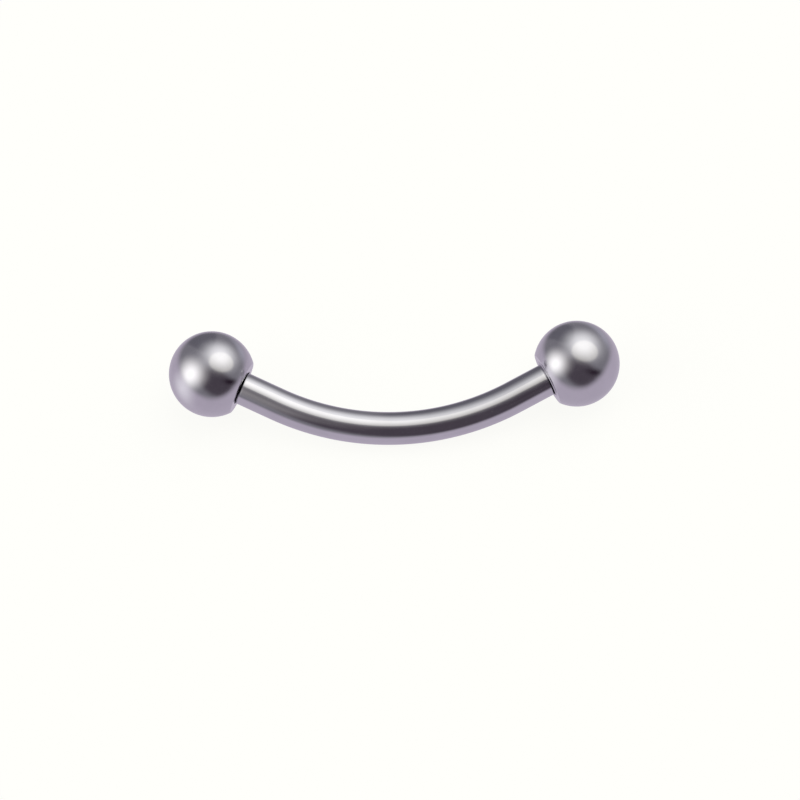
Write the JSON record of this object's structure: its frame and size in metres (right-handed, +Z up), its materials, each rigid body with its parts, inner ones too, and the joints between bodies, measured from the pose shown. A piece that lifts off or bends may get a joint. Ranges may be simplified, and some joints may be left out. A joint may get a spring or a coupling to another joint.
{
  "type": "curved barbell",
  "caption": "Curved barbell for an eyebrow piercing: a round steel bar bent in a shallow arc, with a screw-on ball at each end that holds it in place.",
  "frame": {"origin": "centre of the part's footprint box, on the surface that it lies on", "axes": "+X runs from the left ball to the right ball, +Y is the open side of the bend, +Z is up from the surface"},
  "size_m": [0.0162, 0.004, 0.0031],
  "materials": {
    "bar_steel": "drawn round wire, polished to a soft satin shine",
    "ball_steel": "turned and tumble polished, with soft-edged reflections"
  },
  "bodies": {
    "bar": {"bar": "bar_steel"},
    "ball_left": {"ball_left": "ball_steel"},
    "ball_right": {"ball_right": "ball_steel"}
  },
  "joints": [
    {"name": "unscrew_left", "type": "slide", "parent": "bar", "child": "ball_left", "axis": [-0.8942, 0.4019, 0.1974], "range_m": [0, 0.003]},
    {"name": "unscrew_right", "type": "slide", "parent": "bar", "child": "ball_right", "axis": [0.8942, 0.4019, 0.1974], "range_m": [0, 0.003]}
  ]
}
